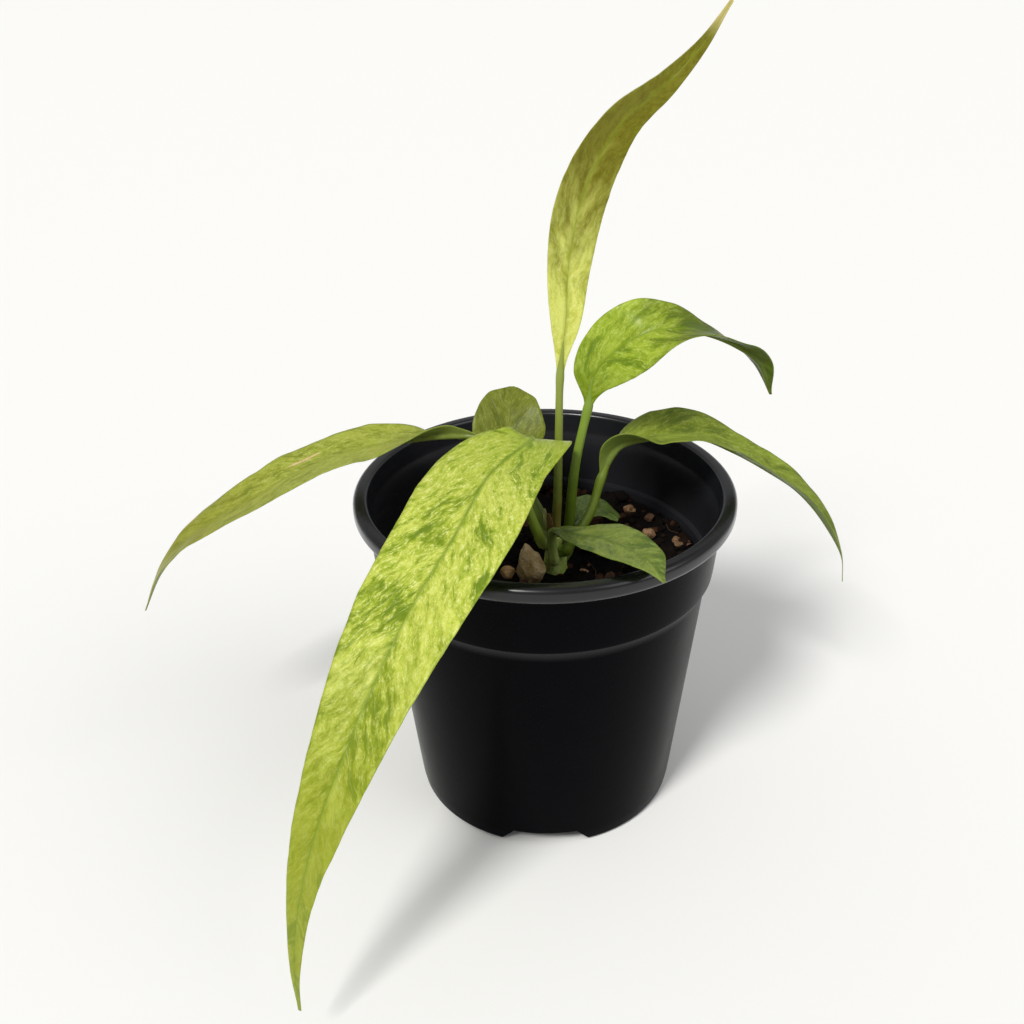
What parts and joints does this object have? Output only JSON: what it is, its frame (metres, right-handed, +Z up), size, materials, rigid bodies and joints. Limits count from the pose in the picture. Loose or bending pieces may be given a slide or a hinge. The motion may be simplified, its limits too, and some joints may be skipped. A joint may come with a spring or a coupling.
{
  "type": "potted plant",
  "caption": "Strap-leaved anthurium with variegated leaves in a round black nursery pot with a rolled rim, planted in bark mix with pumice.",
  "frame": {"origin": "centre of the pot's flat base, on the surface it stands on", "axes": "+Z up along the pot's axis; the pictured front of the plant faces -Y; +X is to its right as seen from the front"},
  "size_m": [0.1997, 0.157, 0.2191],
  "materials": {
    "pot_plastic": "satin black moulded plastic",
    "potting_mix": "loose dark bark and coir, matte",
    "pumice": "dusty tan pumice, matte",
    "pebble": "brown, matte",
    "leaf": "yellow-green variegated leaf, soft sheen",
    "petiole": "smooth green stalk, soft sheen",
    "crown": "smooth green stem",
    "sheath": "dry papery sheath",
    "root": "pale matte root"
  },
  "bodies": {
    "root": {"nursery_pot": "pot_plastic", "potting_mix": "potting_mix", "crown": "crown", "roots": "root", "sheath_brown": "sheath", "sheath_pale": "sheath", "pebble_brown": "pebble", "pumice_large": "pumice", "pumice_back": "pumice", "pumice_back_left": "pumice", "pumice_left": "pumice", "pumice_chip_1": "pumice", "pumice_chip_2": "pumice", "pumice_chip_3": "pumice", "pumice_chip_4": "pumice", "pumice_chip_5": "pumice", "tall_blade": "leaf", "tall_petiole": "petiole", "upper_right_blade": "leaf", "upper_right_petiole": "petiole", "lower_right_blade": "leaf", "lower_right_petiole": "petiole", "left_blade": "leaf", "left_petiole": "petiole", "front_blade": "leaf", "front_petiole": "petiole", "back_blade": "leaf", "back_petiole": "petiole", "low_front_blade": "leaf", "low_front_petiole": "petiole", "low_back_blade": "leaf", "low_back_petiole": "petiole"}
  },
  "joints": []
}
